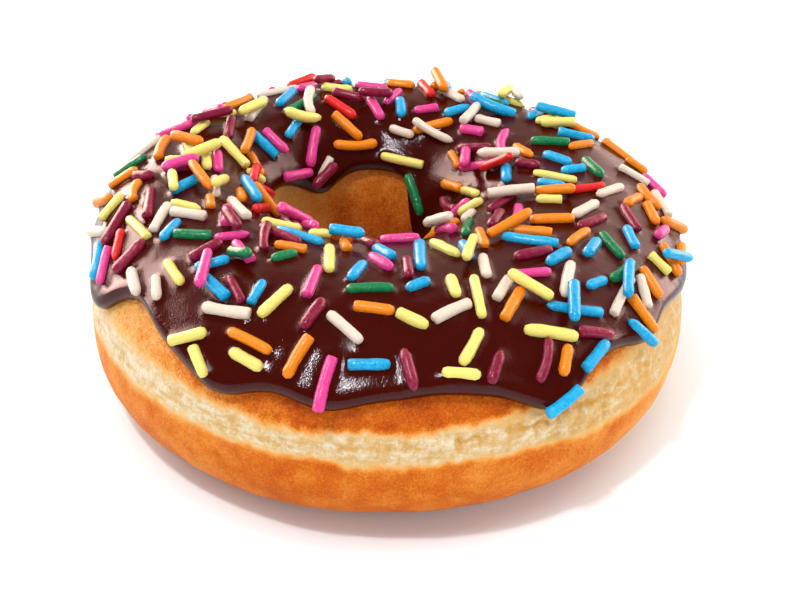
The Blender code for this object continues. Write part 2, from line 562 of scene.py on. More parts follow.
def dough_looks(base, azimuth, turn):
    """Numbers that colour the dough, for each point from 0 to 1.

    Browning is 0 in the band, light on the upper left, deeper at the front and deepest in the hole and
    underneath. Part of it is painted light and shade: lighter on the lit sides, low on the right and on the
    left and top of the hole's wall, and darker just under the icing. Crumb is 1 inside the band. Wrinkled is
    how rough the crust is, and pale how white the crumb, whiter on the lit left partly as painted light.
    """
    low, high = band_edges(azimuth)
    height = base[..., 2]
    upper = fade(height, (low + high) / 2, 1.0 * MM)
    # The tan sides: partly the crust's own tan, partly painted light on the sides that are lit most.
    tan = tan_and_lit_side(azimuth)
    # The lower right, made lighter partly as a painted sheen.
    right = hills(azimuth, RIGHT_LIT_PLACE)
    browning = SIDE_TONE + upper * (UPPER_TONE + UPPER_TAN_AND_LIT_TONE * tan)
    browning = browning + (1 - upper) * (LOWER_TAN_AND_LIT_TONE * tan + LOWER_RIGHT_TONE_AND_SHEEN * right)
    browning = browning + FOOT_TONE * fade(height, 8 * MM, -8 * MM) * (1 - upper)
    # Painted shade just under the icing's edge, except on the tan sides.
    browning = browning + UNDER_ICING_PAINTED_SHADE * fade(height - high, 2 * MM, 3 * MM) * upper * (1 - tan)

    hole = fade(turn, *INTO_HOLE) * fade(turn, *OUT_OF_HOLE)
    # Painted light on the hole's wall: lighter on its left.
    wall_tone = HOLE_TONE + HOLE_LEFT_PAINTED_LIGHT * hills(azimuth, HOLE_LEFT_LIT_PLACE)
    # Painted light at the top of the hole's wall.
    wall_tone = wall_tone + HOLE_TOP_PAINTED_LIGHT * fade(height, 14 * MM, 9 * MM)
    browning = browning + (wall_tone - browning) * hole
    under = np.maximum(fade(turn, *UNDER_OUTSIDE), fade(turn, *UNDER_INSIDE))
    browning = browning + (UNDERSIDE_TONE - browning) * under + waves(base, TONE_WAVES)

    soft = MM * (EDGE_SOFTNESS + hills(azimuth, SOFT_PLACES) + UPPER_TAN_SOFTNESS * tan * upper)
    away = (outside_band(base, azimuth) + MM * waves(base, EDGE_WAVES)) / soft
    side = outer_side(turn)
    browning = browning * (1 - side * (1 - smooth_step(away + EDGE_OVERLAP)))
    crumb = side * smooth_step(EDGE_OVERLAP - away)
    wrinkled = upper * side * (UPPER_WRINKLES + TAN_WRINKLES * tan) + HOLE_WRINKLES * hole
    return {
        "browning": np.clip(browning, 0, 1),
        "crumb": crumb,
        "wrinkled": np.clip(wrinkled, 0, 1) * (1 - crumb),
        "pale": hills(azimuth, PALE_AND_LIT_PLACES),
    }


def dough_turns(rows):
    """Turns of the dough's rows, spread by the length between them times the weight of their place."""
    weight = np.interp(np.degrees(TURN_TABLE), ROW_TURNS, ROW_WEIGHTS)
    steps = np.diff(ARC_TABLE) * (weight[1:] + weight[:-1]) / 2
    measure = np.concatenate(((0.0,), np.cumsum(steps)))
    return np.interp(np.linspace(0, measure[-1], rows, endpoint=False), measure, TURN_TABLE)


# How brown the crust is, and how light the crumb's flecks are, where each colour of their ramps stands.
CRUST_STOPS = (0.05, 0.24, 0.42, 0.60, 0.80, 1.00)
CRUMB_STOPS = (0.37, 0.47, 0.60)


def dough_material(settings):
    """Fried dough: a ramp from cream to brown by browning, and a lighter one for crumb, both grainy."""
    material, tree, shader, place = new_material("fried_dough")
    mottle = shader_noise(tree, place, 3.6 * MM, 3.0, 0.55)
    grain = shader_noise(tree, place, 0.46 * MM, 3.0, 0.6)
    fine = shader_noise(tree, place, 0.24 * MM, 1.0, 0.5)
    wrinkles = shader_noise(tree, place, 0.62 * MM, 2.0, 0.55, 1.2)
    wrinkled = attribute(tree, "wrinkled")

    tone = attribute(tree, "browning")
    for source, share in ((mottle, 0.42), (grain, 0.26), (fine, 0.34)):
        tone = add_swing(tree, source, share, tone)
    lines = calculate(tree, "MULTIPLY", calculate(tree, "SUBTRACT", 0.5, wrinkles), wrinkled)
    tone = add_share(tree, lines, 0.9, tone)
    colours = [getattr(settings, "crust_" + name) for name in ("pale", "golden", "tan", "orange", "brown")]
    colours.append(tuple(part * 0.45 for part in settings.crust_brown))
    crust = ramp(tree, tone, tuple(zip(CRUST_STOPS, colours)))

    streaks = shader_noise(tree, stretched(tree, place, 3.4), 2.8 * MM, 3.0, 0.55)
    blots = shader_noise(tree, stretched(tree, place, 0.7), 1.1 * MM, 2.0, 0.5)
    # pale whitens the crumb: partly its own tone and partly painted light on the lit left side.
    pale = attribute(tree, "pale")
    flecks = 0.0
    for source, share in ((grain, 0.16), (fine, 0.14), (blots, 0.28), (streaks, 0.42), (pale, 0.08)):
        flecks = add_share(tree, source, share, flecks)
    colours = (settings.crumb_golden, settings.crumb_cream, settings.crumb_white)
    crumb = ramp(tree, flecks, tuple(zip(CRUMB_STOPS, colours)))
    # The crease colour goes into the crumb's hollows and crack: partly its golden tint and partly painted
    # shade.
    stain = add_swing(tree, grain, -1.2, attribute(tree, "stain"))
    crumb = mix_colours(tree, held(tree, stain), crumb, settings.crumb_crease_and_shade)
    inside = add_swing(tree, attribute(tree, "crumb"), 1.5, 0.5)
    inside = add_swing(tree, grain, 1.4, inside)

    relief = bump(tree, grain, 0.10 * MM, 0.7)
    relief = bump(tree, calculate(tree, "MULTIPLY", wrinkles, wrinkled), 0.34 * MM, 1.0, relief)
    colour = mix_colours(tree, held(tree, inside), crust, crumb)
    looks = {"Base Color": colour, "Roughness": 0.6, "Specular IOR Level": 0.08, "Normal": relief}
    fill(tree, shader, looks)
    return material


def build_crust(settings):
    """The crust as one closed ring, with a groove all round that the crumb band fills."""
    rows, columns = DOUGH_GRID
    azimuth, turn = np.meshgrid(ring_azimuths(columns), dough_turns(rows))
    base = ring_surface(azimuth, turn, 0.0)
    groove = fade(outside_band(base, azimuth), 0.0, -GROOVE_SIDE) * outer_side(turn)
    relief = crust_relief(base, azimuth, turn) - BAND_GROOVE * groove
    points = base + grid_normals(base) * relief[..., None]
    points[..., 2] = np.maximum(points[..., 2], 0.0)
    looks = dough_looks(base, azimuth, turn)
    looks["stain"] = np.zeros_like(azimuth)
    piece = closed_grid_object("fried_crust", points, looks)
    finish_piece(piece, dough_material(settings), ("dough_ring",))


def band_points(azimuth, share):
    """The crumb band: a strip level with the crust, whose two edges turn in under it.

    Share 0 to 1 climbs its outside and 1 to 2 comes back down behind it. Its relief is upright ridges,
    lumps, fine pores and a crack that wanders along its middle, all deeper where the band is torn.
    """
    low, high = band_edges(azimuth)
    bottom, top = low - BAND_OVERLAP, high + BAND_OVERLAP
    climb = np.where(share <= 1, share, 2 - share)
    height = bottom + (top - bottom) * climb
    turn = turn_at_height(azimuth, height)
    base = ring_surface(azimuth, turn, 0.0)
    outside = np.maximum(height - high, low - height)
    inside = smooth_step(BAND_SMOOTH_EDGE[0] - outside / BAND_SMOOTH_EDGE[1])
    torn = torn_strength(azimuth)

    roughness = [noise(base, size, seed) for size, seed in BAND_NOISES]
    relief = sum((depth + more * torn) * wave for (depth, more), wave in zip(BAND_DEPTHS, roughness))
    circle = base * np.array((1.0, 1.0, 0.0))
    crack_height = low + (high - low) * (CRACK_HEIGHT[0] + CRACK_HEIGHT[1] * torn)
    crack_height = crack_height + MM * waves(circle, CRACK_WAVES)
    crack = bell(height, crack_height, MM * (CRACK_WIDTH[0] + waves(circle, CRACK_WIDTH[1])))
    shows, gaps, more = CRACK_SHOWS
    crack = crack * smooth_step(shows + waves(circle, gaps) + more * torn)
    relief = relief - (CRACK_DEPTH[0] + CRACK_DEPTH[1] * torn) * crack

    turned_in = fade(outside, BAND_OVERLAP - BAND_TURN_IN, BAND_TURN_IN) ** 2
    behind = np.sin(np.pi * np.clip(share - 1, 0, 1)) ** 0.5
    lift = crust_relief(base, azimuth, turn) + BAND_STANDS_OUT + MM * inside * relief
    lift = lift - BAND_TURN_IN * turned_in - np.where(share <= 1, 0.0, BAND_THICKNESS * behind)
    around, upward = (
        ring_surface(azimuth + a, turn + t, 0.0) - ring_surface(azimuth - a, turn - t, 0.0)
        for a, t in ((SURFACE_STEP, 0.0), (0.0, SURFACE_STEP))
    )
    points = base + unit(np.cross(around, upward)) * lift[..., None]

    looks = dough_looks(base, azimuth, turn)
    ridges, lumps, _ = roughness
    # The hollows of the ridges and lumps and the crack are coloured darker: partly golden crumb, partly
    # painted shade.
    hollow = np.clip(-1.2 * ridges * (0.3 + torn) - 0.9 * lumps * (0.5 + 0.5 * torn), 0, 1)
    looks["stain"] = np.clip(0.75 * hollow + crack * (0.45 + 0.75 * torn), 0, 1) * 0.75
    return points, looks


def build_band(settings):
    """The crumb band as one closed strip round the ring."""
    rows, columns = BAND_GRID
    behind = np.linspace(1, 2, BAND_BACK_ROWS + 2)[1:-1]
    share = np.concatenate((np.linspace(0, 1, rows - BAND_BACK_ROWS), behind))
    azimuth, share = np.meshgrid(ring_azimuths(columns), share)
    points, looks = band_points(azimuth, share)
    piece = closed_grid_object("crumb_band", points, looks)
    finish_piece(piece, dough_material(settings))


# ---- sugar strands

STRAND_STATIONS = 7
STRAND_SIDES = 8
STRAND_SAMPLES = 9
TANGENT_STEP = 0.1 * MM
# Each colour's share of the strands, and how mottled and how dull it is.
STRAND_KINDS = {
    "pink": (0.125, 0.40, 0.30),
    "plum": (0.12, 0.55, 0.28),
    "yellow": (0.165, 0.14, 0.40),
    "orange": (0.235, 0.22, 0.34),
    "blue": (0.11, 0.60, 0.30),
    "green": (0.045, 0.60, 0.26),
    "red": (0.095, 0.30, 0.30),
    "white": (0.145, 0.08, 0.42),
}


# A strand's thickness and length lie in these ranges, as shares of the usual ones.
THICKNESS_RANGE = (0.90, 1.10)
LENGTH_RANGE = (0.62, 1.36)
# How far strands bend, as shares of their length: most a little, and some that are long enough strongly.
SLIGHT_BEND = 0.018
STRONG_BEND = (0.06, 0.15)
LONG_ENOUGH = 0.85
# An end is round (0), cut (1) or pointed (-1), with these odds.
END_ODDS = {0.0: 0.66, 1.0: 0.28, -1.0: 0.06}
# For each kind of end: how far in its last ring lies and how far in the strand is full, both in radii, and
# how far the last ring draws in.
END_KINDS = (-1.0, 0.0, 1.0)
END_INSETS = (0.55, 0.29, 0.06)
END_FULL = (1.6, 1.0, 0.36)
END_DRAWS = (0.62, 0.71, 0.84)
# How much a strand's thickness varies along it.
LUMP_SPREAD = 0.035
# No strand is looked for farther up than this many radii, and none counts as touched within this depth.
NEAR_RADII = 6
TOUCH_DEPTH = 0.05 * MM
FAR_BELOW = -1.0


def bent_aside(bend, along, length):
    """How far aside a bent strand's axis lies at a place along it: bend (0.5 - (2 a / l) squared)."""
    return bend * (0.5 - (2 * along / length) ** 2)


class Strand:
    """One sugar strand: its colour, its frame on the icing, its sizes and where it rests."""

    def __init__(self, rng, settings):
        """Draw the strand's colour, thickness, length, bend, heading, shade, ends and lumps."""
        names = list(STRAND_KINDS)
        shares = np.array([STRAND_KINDS[name][0] for name in names])
        self.kind = names[int(rng.choice(len(names), p=shares / shares.sum()))]
        self.radius = settings.strand_thickness / 2 * rng.uniform(*THICKNESS_RANGE)
        usual = settings.strand_length
        shortest, longest = (share * usual for share in LENGTH_RANGE)
        self.length = float(np.clip(rng.normal(usual, settings.strand_length_spread), shortest, longest))
        self.bend = rng.normal(0, SLIGHT_BEND) * self.length
        if rng.random() < settings.bent_share and self.length > LONG_ENOUGH * usual:
            self.bend = rng.choice((-1, 1)) * rng.uniform(*STRONG_BEND) * self.length
        self.heading = rng.uniform(0, math.pi)
        self.shade = rng.uniform(0, 1)
        self.ends = rng.choice(list(END_ODDS), size=2, p=list(END_ODDS.values()))
        self.lumps = rng.normal(0, LUMP_SPREAD, STRAND_STATIONS)
        self.sink = settings.strand_sink

    def settle(self, azimuth, turn):
        """Find the strand's frame at a place of the icing: its point, way, side and up.

        Way and side lie in the plane of the surface's two slopes there, and up is their cross product. The
        icing's height is then taken under samples of the axis, and how far they hang over an edge of it.
        """
        step = STRAND_STEP
        self.point = icing_outside(azimuth, turn)
        east = icing_outside(azimuth + step, turn) - icing_outside(azimuth - step, turn)
        north = icing_outside(azimuth, turn + step) - icing_outside(azimuth, turn - step)
        east_size, north_size = (np.linalg.norm(slope) / (2 * step) for slope in (east, north))
        east, north = unit(east), unit(north)
        self.up = unit(np.cross(east, north))
        way = math.cos(self.heading) * east + math.sin(self.heading) * north
        self.way = unit(way - self.up * (way @ self.up))
        self.side = np.cross(self.up, self.way)
        self.along = np.linspace(-1, 1, STRAND_SAMPLES) * (self.length / 2 - self.radius)
        self.aside = bent_aside(self.bend, self.along, self.length)
        azimuths = azimuth + self.along * math.cos(self.heading) / east_size
        turns = turn + self.along * math.sin(self.heading) / north_size
        first, last = icing_edges(azimuths)
        arcs = arc_at(turns)
        self.overhang = float(max((arc_at(first) - arcs).max(), (arcs - arc_at(last)).max()))
        self.ground = (icing_outside(azimuths, turns) - self.point) @ self.up

    def rest_on(self, others):
        """Find the height at the middle and the slope at which the strand lies on the icing and on others.

        At each sample the axis must stay a radius above the icing, less the sink, and a distance of both
        radii from each other strand. The lowest line over all those heights is the one that it rests at.
        """
        needed = self.ground + self.radius - self.sink
        local = others[:, :3] - self.point
        way, side, up = (local @ axis for axis in (self.way, self.side, self.up))
        near = (np.abs(way) < self.length) & (np.abs(side) < self.length)
        near &= np.abs(up) < NEAR_RADII * self.radius
        apart = np.hypot(self.along[:, None] - way[near], self.aside[:, None] - side[near])
        reach = self.radius + others[near, 3]
        over = up[near] + np.sqrt(np.maximum(reach**2 - apart**2, 0.0))
        highest = np.where(apart < reach, over, FAR_BELOW).max(axis=1, initial=FAR_BELOW)
        touching = bool((highest > needed + TOUCH_DEPTH).any())
        needed = np.maximum(needed, highest)

        left, right = self.along <= 0, self.along >= 0
        a, b = self.along[left][:, None], self.along[right][None, :]
        height_a, height_b = needed[left][:, None], needed[right][None, :]
        span = np.maximum(b - a, HAIR)
        middle = np.where(b - a < HAIR, height_a, (height_a * b - height_b * a) / span)
        self.height = float(middle.max())
        slopes = (needed - self.height) / np.where(self.along == 0, np.inf, self.along)
        uphill, downhill = slopes[self.along > 0].max(), slopes[self.along < 0].min()
        self.slope = float(np.clip(0.0, uphill, max(downhill, uphill)))
        return touching

    def axis_points(self):
        """Points along the strand's axis, with its radius beside each."""
        points = self.point + self.along[:, None] * self.way + self.aside[:, None] * self.side
        points = points + (self.height + self.slope * self.along)[:, None] * self.up
        return np.concatenate((points, np.full((len(points), 1), self.radius)), axis=1)


# How thickly strands fall: the usual share, and what other places add to it. Each is an azimuth, a half
# width and a strength, with how far over the icing it starts or, with a width below 0, stops, and the width.
USUAL_DENSITY = 0.62
DENSER_PLACES = (
    (-95, 50, -0.17, 0.42, -0.2),
    (190, 22, 0.30, 2.0, -1.0),
    (-18, 26, 0.35, 0.80, -0.3),
    (90, 40, 0.25, 0.50, -0.3),
    (36, 22, -0.50, 0.80, 0.1),
)
# How far in from the icing's outer edge strands start, in millimetres, and from its inner edge.
OUTER_MARGIN = 0.9
MARGIN_PLACES = ((185, 40, 1.8), (0, 30, 1.2))
INNER_MARGIN = 1.1 * MM
# A strand's ends stay this far in from the edges, in millimetres, but some at the front may hang over.
EDGE_ROOM = 0.5
OVERHANG_PLACES = ((-70, 55, 1.6),)
OVERHANG_SHARE = 0.35
# The highest a strand may lie, in radii, and the steepest; and where none lies on others: along the outer
# edge, and on the outer slope at these places.
HIGHEST = 2.9
STEEPEST = 0.32
SINGLE_EDGE = (0.14, -0.08)
SINGLE_SLOPE = 0.45
SINGLE_PLACES = ((-95, 40, 1.0), (176, 45, 1.0), (0, 40, 1.0))
# How many places are tried for one strand, and how many strands are drawn for each one laid, at most.
PLACES_TRIED = 60
STRANDS_DRAWN = 20


def strand_density(azimuth, across):
    """How thickly strands fall, from 0 to 1: the usual share plus bell curves round the ring that fade."""
    density = USUAL_DENSITY
    for place, half_width, strength, start, width in DENSER_PLACES:
        density = density + strength * bell_round(azimuth, place, half_width) * fade(across, start, width)
    return np.clip(density, 0, 1)


def lay_strands(settings):
    """Drop the strands one by one on the icing. One that meets others rests on them or, mostly, is moved."""
    rng = np.random.default_rng(settings.strand_seed)
    laid = []
    samples = np.zeros((0, 4))
    widest = RING_RADIUS + ICING_TOP
    for _ in range(STRANDS_DRAWN * settings.strand_count):
        if len(laid) == settings.strand_count:
            break
        strand = Strand(rng, settings)
        for _ in range(PLACES_TRIED):
            azimuth = rng.uniform(-math.pi, math.pi)
            across = rng.uniform(0, 1)
            keep = rng.random()
            pile = rng.random()
            first, last = icing_edges(azimuth)
            start = arc_at(first) + MM * (OUTER_MARGIN + hills(azimuth, MARGIN_PLACES))
            turn = float(turn_at(start + across * (arc_at(last) - INNER_MARGIN - start)))
            radius = np.linalg.norm(ring_surface(azimuth, turn, ICING_TOP)[:2])
            if keep > strand_density(azimuth, across) * radius / widest:
                continue
            strand.heading = rng.uniform(0, math.pi)
            strand.settle(azimuth, turn)
            front = hills(azimuth, OVERHANG_PLACES) * (pile < OVERHANG_SHARE)
            if strand.overhang > (front - EDGE_ROOM) * MM:
                continue
            piled = strand.rest_on(samples)
            too_high = strand.height > HIGHEST * strand.radius or abs(strand.slope) > STEEPEST
            slope = min(hills(azimuth, SINGLE_PLACES), 1.0) * (across < SINGLE_SLOPE)
            single = max(fade(across, *SINGLE_EDGE), slope)
            if piled and (too_high or pile > settings.pile_share * (1 - single)):
                continue
            laid.append(strand)
            samples = np.concatenate((samples, strand.axis_points()))
            break
    if len(laid) < settings.strand_count:
        raise RuntimeError("The icing has no room for so many strands")
    return laid


def gather(strands, *titles):
    """For each title, one array of what every strand has under it."""
    return (np.array([getattr(strand, title) for strand in strands]) for title in titles)


def strand_rings(strands):
    """Rings of points round every strand of a list, at stations along it, and the two points of its ends.

    The axis is a straight line bent aside. A ring has the strand's radius, which its lumps vary a little,
    and the last ring at each end draws in by the kind of that end.
    """
    radius, length, bend, height, slope = gather(strands, "radius", "length", "bend", "height", "slope")
    point, way, side, up, ends, lumps = gather(strands, "point", "way", "side", "up", "ends", "lumps")
    inset, full, draw = (np.interp(ends, END_KINDS, shares) for shares in (END_INSETS, END_FULL, END_DRAWS))
    inset, full = inset * radius[:, None], full * radius[:, None]
    half = length / 2
    start, end = full[:, 0] - half, half - full[:, 1]
    body = start[:, None] + (end - start)[:, None] * np.linspace(0, 1, STRAND_STATIONS - 2)
    stations = np.column_stack((inset[:, 0] - half, body, half - inset[:, 1]))
    swell = 1 + lumps
    swell[:, [0, -1]] *= draw
    origin = point + height[:, None] * up
    way = unit(way + slope[:, None] * up)

    def axis(place):
        """Points of every axis at the given places along it."""
        aside = bent_aside(bend[:, None], place, length[:, None])
        return origin[:, None] + place[..., None] * way[:, None] + aside[..., None] * side[:, None]

    tangent = unit(axis(stations + TANGENT_STEP) - axis(stations - TANGENT_STEP))
    across = unit(np.cross(np.cross(way, side)[:, None], tangent))
    top = np.cross(tangent, across)
    angle = np.arange(STRAND_SIDES) / STRAND_SIDES * math.tau
    circle = across[:, :, None] * np.cos(angle)[:, None] + top[:, :, None] * np.sin(angle)[:, None]
    rings = axis(stations)[:, :, None] + circle * (radius[:, None] * swell)[..., None, None]
    return rings, axis(np.stack((-half, half), axis=1))


def strand_faces(count):
    """Faces of every strand: four-sided ones between its rings and three-sided ones at its two tips."""
    per_strand = STRAND_STATIONS * STRAND_SIDES + 2
    ring = np.arange(STRAND_STATIONS * STRAND_SIDES).reshape(STRAND_STATIONS, STRAND_SIDES)
    following = np.roll(ring, -1, axis=1)
    body = np.stack((ring[:-1], following[:-1], following[1:], ring[1:]), axis=-1).reshape(-1, 4)
    start, end = per_strand - 2, per_strand - 1
    first = np.stack((np.full(STRAND_SIDES, start), following[0], ring[0]), axis=-1)
    last = np.stack((np.full(STRAND_SIDES, end), ring[-1], following[-1]), axis=-1)
    offsets = np.arange(count) * per_strand
    quads = (body[None] + offsets[:, None, None]).reshape(-1, 4)
    triangles = (np.concatenate((first, last))[None] + offsets[:, None, None]).reshape(-1, 3)
    return quads.tolist() + triangles.tolist()


def strand_material(kind, colour, mottling, roughness):
    """Glazed sugar of one colour: soft mottling, a lighter or darker shade of each strand, and fine pits."""
    material, tree, shader, place = new_material("sugar_" + kind)
    clouds = shader_noise(tree, place, 0.9 * MM, 3.0, 0.6, 0.6)
    pits = shader_noise(tree, place, 0.35 * MM, 2.0, 0.5)
    light = tuple(min(1.0, part * 1.2 + 0.03 * mottling) for part in colour)
    dark = tuple(part * (1 - 0.45 * mottling) for part in colour)
    shade = attribute(tree, "shade")
    cloudy = 0.5
    for source, share in ((clouds, 2.4 * mottling), (pits, 2.2 * mottling), (shade, 0.35)):
        cloudy = add_swing(tree, source, share, cloudy)
    relief = bump(tree, pits, 0.10 * MM, 0.7, bump(tree, clouds, 0.18 * MM, 0.6))
    looks = {
        "Base Color": ramp(tree, cloudy, ((0.0, dark), (0.5, colour), (1.0, light))),
        "Roughness": roughness,
        "Specular IOR Level": 0.25,
        "Coat Weight": 0.08,
        "Coat Roughness": 0.12,
        "Normal": relief,
    }
    fill(tree, shader, looks)
    return material


def build_strands(settings):
    """One joined piece for each colour of strand."""
    laid = lay_strands(settings)
    for kind, (_, mottling, roughness) in STRAND_KINDS.items():
        chosen = [strand for strand in laid if strand.kind == kind]
        if not chosen:
            continue
        rings, tips = strand_rings(chosen)
        count = len(chosen)
        points = np.concatenate((rings.reshape(count, -1, 3), tips), axis=1)
        shades = np.repeat([strand.shade for strand in chosen], points.shape[1])
        looks = {"shade": shades}
        piece = mesh_object("sprinkles_" + kind, points.reshape(-1, 3), strand_faces(count), looks)
        colour = tuple(getattr(settings, kind))
        finish_piece(piece, strand_material(kind, colour, mottling, roughness))


# ---- icing


# How deep inside the dough the icing's underside lies, and the level of its section above which it climbs.
ICING_UNDER = 1.0 * MM
CLIMBS_ABOVE = (0.8, 0.2)
# The icing climbs strands whose lowest end lies within this many radii, over this reach. The climb starts
# this share of a radius from the axis and falls off by this length, and a strand this far clear gets none.
CLIMB_RADII = 1.25
CLIMB_REACH = 2.5 * MM
CLIMB_START = 0.85
CLIMB_FALL = 0.38 * MM
CLIMB_GAP = 0.5 * MM


def icing_section(rows):
    """The icing's section as three lists of numbers, one entry a row, for a loop from edge to edge and back.

    They are the share of the way over, the inset from an edge in beads, and the height from 0 at the
    underside to 1 on top. Each edge is half an ellipse.
    """
    over_rows = rows - 2 * BEAD_ROWS - UNDER_ROWS
    bend = np.linspace(0, math.pi, BEAD_ROWS)
    aside, rise = 1 - np.sin(bend), (1 - np.cos(bend)) / 2
    over = np.linspace(0, 1, over_rows + 2)[1:-1]
    under = np.linspace(1, 0, UNDER_ROWS + 2)[1:-1]
    share = np.concatenate((np.zeros(BEAD_ROWS), over, np.ones(BEAD_ROWS), under))
    inset = np.concatenate((aside, np.ones(over_rows), aside[::-1], np.ones(UNDER_ROWS)))
    level = np.concatenate((rise, np.ones(over_rows), rise[::-1], np.zeros(UNDER_ROWS)))
    return share, inset, level


def icing_points(settings, strands):
    """The icing: a shell over the ring from its outer to its inner edge, thick and round at its lips.

    It swells slowly, its lip is a little fuller than the rest, and it climbs a short way up each strand
    that touches it. Its underside lies just inside the dough, so that the edge meets the crust.
    """
    rows, columns = ICING_GRID
    share, inset, level = icing_section(rows)
    azimuth, share = np.meshgrid(ring_azimuths(columns), share)
    inset, level = inset[:, None], level[:, None]
    first, last = icing_edges(azimuth)
    bead = settings.lip_width
    start, end = arc_at(first), arc_at(last)
    arc = start + bead * inset + share * (end - start - 2 * bead * inset)
    turn = turn_at(arc)

    outside = icing_outside(azimuth, turn)
    inside = ring_surface(azimuth, turn, -ICING_UNDER)
    points = inside + (outside - inside) * level[..., None]
    normals = grid_normals(outside)
    facing = np.sign((normals * (outside - inside)).sum(axis=-1, keepdims=True))
    climb = strand_climb(points, strands, settings) * fade(level, *CLIMBS_ABOVE)
    return points + normals * facing * climb[..., None]


def strand_climb(points, strands, settings):
    """How far the icing climbs at each point: c e to the minus d / w, a distance d from a strand's side."""
    climb = np.zeros(points.shape[:-1])
    flat = points.reshape(-1, 3)
    height = climb.reshape(-1)
    for strand in strands:
        low = strand.height - abs(strand.slope) * strand.length / 2
        if low > CLIMB_RADII * strand.radius:
            continue
        half = strand.length / 2
        near = np.flatnonzero(np.linalg.norm(flat - strand.point, axis=1) < half + CLIMB_REACH)
        local = flat[near] - strand.point
        along = np.clip(local @ strand.way, strand.radius - half, half - strand.radius)
        aside = bent_aside(strand.bend, along, strand.length)
        away = np.hypot(local @ strand.way - along, local @ strand.side - aside)
        gap = np.maximum(away - CLIMB_START * strand.radius, 0.0)
        clear = strand.height + strand.slope * along - strand.radius + strand.sink
        rise = settings.climb * fade(clear, CLIMB_GAP, -CLIMB_GAP) * np.exp(-gap / CLIMB_FALL)
        height[near] = np.maximum(height[near], rise)
    return climb


def icing_material(settings):
    """Chocolate icing: dark and glossy, with a fine grain and slow dimples that break up its highlights."""
    material, tree, shader, place = new_material("chocolate_gloss")
    clouds = shader_noise(tree, place, 6 * MM, 2.0, 0.5)
    grain = shader_noise(tree, place, 0.22 * MM, 1.0, 0.5)
    dimples = shader_noise(tree, place, 2.4 * MM, 1.0, 0.4)
    colour = tuple(settings.icing_colour)
    lighter = tuple(part * 1.25 for part in colour)
    looks = {
        "Base Color": mix_colours(tree, clouds, colour, lighter),
        "Roughness": settings.icing_roughness,
        "Specular IOR Level": 0.20,
        "Specular Tint": (0.97, 0.93, 1.0, 1.0),
        "Normal": bump(tree, grain, 0.032 * MM, 1.0, bump(tree, dimples, 0.09 * MM, 0.7)),
    }
    fill(tree, shader, looks)
    return material


def build_icing(settings, strand_settings):
    """The icing as one closed shell, shaped round the strands that lie on it."""
    strands = lay_strands(strand_settings)
    points = icing_points(settings, strands)
    piece = closed_grid_object("chocolate_icing_gloss", points, {})
    finish_piece(piece, icing_material(settings), ("chocolate_icing",))


# ---- stage

CAMERA_TARGET = (1.4 * MM, 0.0, 11.7 * MM)
CAMERA_DISTANCE = 242 * MM
CAMERA_ELEVATION = math.radians(33.3)
CAMERA_LENS = 70.0
CAMERA_SENSOR = 36.0
PANEL_DISTANCE = 0.75
BACKGROUND_LEVEL = 0.95
FLOOR_GRID = (24, 64)
FLOOR_GAP = 0.1 * MM
# Each panel's azimuth and elevation in degrees, width and height in metres, brightness and use. A bounce
# lights things and isn't mirrored. A sheen, which is warm, and a glint, which is white, are only mirrored.
PANELS = {
    "back_wall": (80, 20, 1.25, 0.60, 0.75, "sheen"),
    "left_side": (145, 19, 0.86, 0.62, 18.5, "sheen"),
    "left_upper": (142, 50, 0.80, 0.28, 1.2, "sheen"),
    "right_back": (56, 16, 0.45, 0.50, 2.0, "sheen"),
    "right_side": (24, 12, 0.50, 0.36, 10.0, "sheen"),
    "right_upper": (26, 40, 0.80, 0.42, 1.8, "sheen"),
    "key_glint": (-116, 59, 0.08, 0.06, 300.0, "glint"),
    "key_light": (-128, 67, 0.06, 0.05, 230.0, "bounce"),
    "ceiling": (100, 76, 1.60, 1.20, 1.75, "bounce"),
    "front_wall": (-80, 18, 1.70, 0.70, 1.2, "bounce"),
    "left_wall": (172, 12, 1.20, 0.50, 1.45, "bounce"),
    "right_wall": (8, 14, 1.20, 0.50, 2.3, "bounce"),
}


def floor_material(settings):
    """A plain pale matt floor."""
    material, tree, shader, place = new_material("pale_floor")
    blots = shader_noise(tree, place, 0.2, 1.0, 0.4)
    pale = tuple(settings.floor_colour)
    dull = tuple(part * 0.985 for part in pale)
    colour = mix_colours(tree, blots, dull, pale)
    fill(tree, shader, {"Base Color": colour, "Roughness": 0.9, "Specular IOR Level": 0.1})
    return material


def build_floor(settings):
    """A round floor: rings of points whose radius grows as the square of their number from the middle."""
    rings, spokes = FLOOR_GRID
    radius = (np.arange(1, rings + 1) / rings) ** 2 * settings.floor_radius
    angle = np.arange(spokes) / spokes * math.tau
    x, y = radius[:, None] * np.cos(angle), radius[:, None] * np.sin(angle)
    points = np.stack((x, y, np.full_like(x, CAD_BOX[0].z - FLOOR_GAP)), axis=-1).reshape(-1, 3)
    index = np.arange(rings * spokes).reshape(rings, spokes)
    following = np.roll(index, -1, axis=1)
    faces = np.stack((index[:-1], index[1:], following[1:], following[:-1]), axis=-1)
    faces = faces.reshape(-1, 4).tolist() + [index[0].tolist()]
    floor = mesh_object("studio_floor", points, faces, {})
    floor.data.materials.append(floor_material(settings))


def build_lights(settings):
    """Soft panels that all face the doughnut, each given as a direction, a size and a brightness."""
    for name, (azimuth, elevation, width, height, brightness, use) in PANELS.items():
        light = bpy.data.lights.new(name, "AREA")
        light.shape = "RECTANGLE"
        light.size = width
        light.size_y = height
        light.energy = brightness * settings.light_level * width * height * math.pi
        if use == "sheen":
            light.color = settings.shine_colour
        lamp = bpy.data.objects.new(name, light)
        azimuth, elevation = math.radians(azimuth), math.radians(elevation)
        level = math.cos(elevation)
        away = Vector((math.cos(azimuth) * level, math.sin(azimuth) * level, math.sin(elevation)))
        lamp.location = Vector(CAMERA_TARGET) + away * PANEL_DISTANCE
        lamp.rotation_euler = away.to_track_quat("Z", "Y").to_euler()
        lamp.visible_camera = False
        lamp.visible_diffuse = use == "bounce"
        lamp.visible_glossy = use != "bounce"
        bpy.context.scene.collection.objects.link(lamp)


